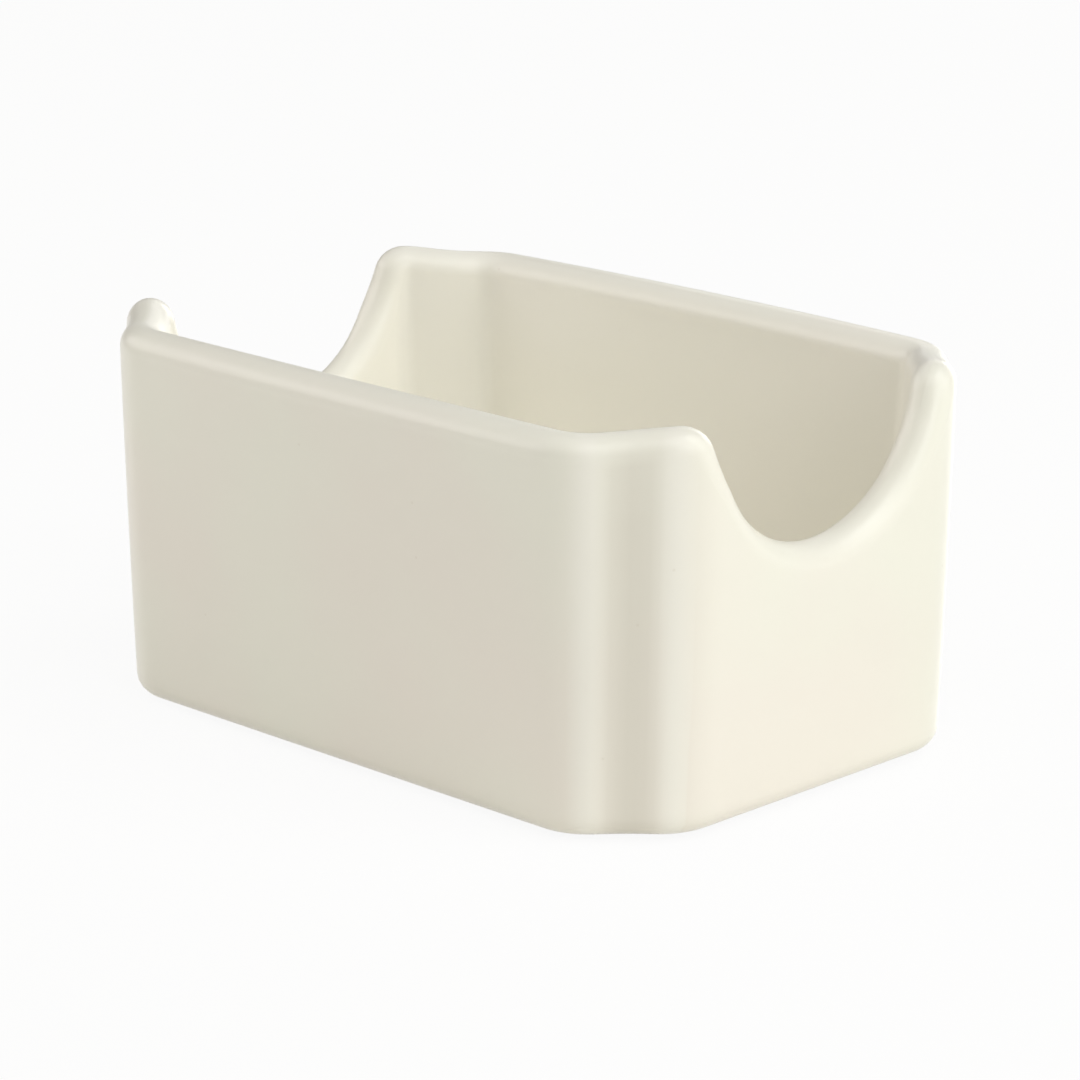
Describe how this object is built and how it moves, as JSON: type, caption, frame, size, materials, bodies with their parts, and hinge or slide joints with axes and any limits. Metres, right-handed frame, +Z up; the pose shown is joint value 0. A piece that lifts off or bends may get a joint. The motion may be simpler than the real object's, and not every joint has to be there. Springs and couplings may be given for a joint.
{
  "type": "sugar packet holder",
  "caption": "Open rectangular china box with cut corners and a finger notch in each short end, for standing sugar packets on a table.",
  "frame": {"origin": "centre of the overall box in plan, on the table plane that the foot ring stands on", "axes": "+X along the length, out through one finger notch; +Y across the width; +Z up"},
  "size_m": [0.1018, 0.0732, 0.0502],
  "materials": {
    "clay": "dry fired china, bare only at the foot ring",
    "glaze": "ivory gloss glaze"
  },
  "bodies": {
    "root": {"china_body": "clay", "glaze_coat": "glaze", "base_glaze": "glaze"}
  },
  "joints": []
}
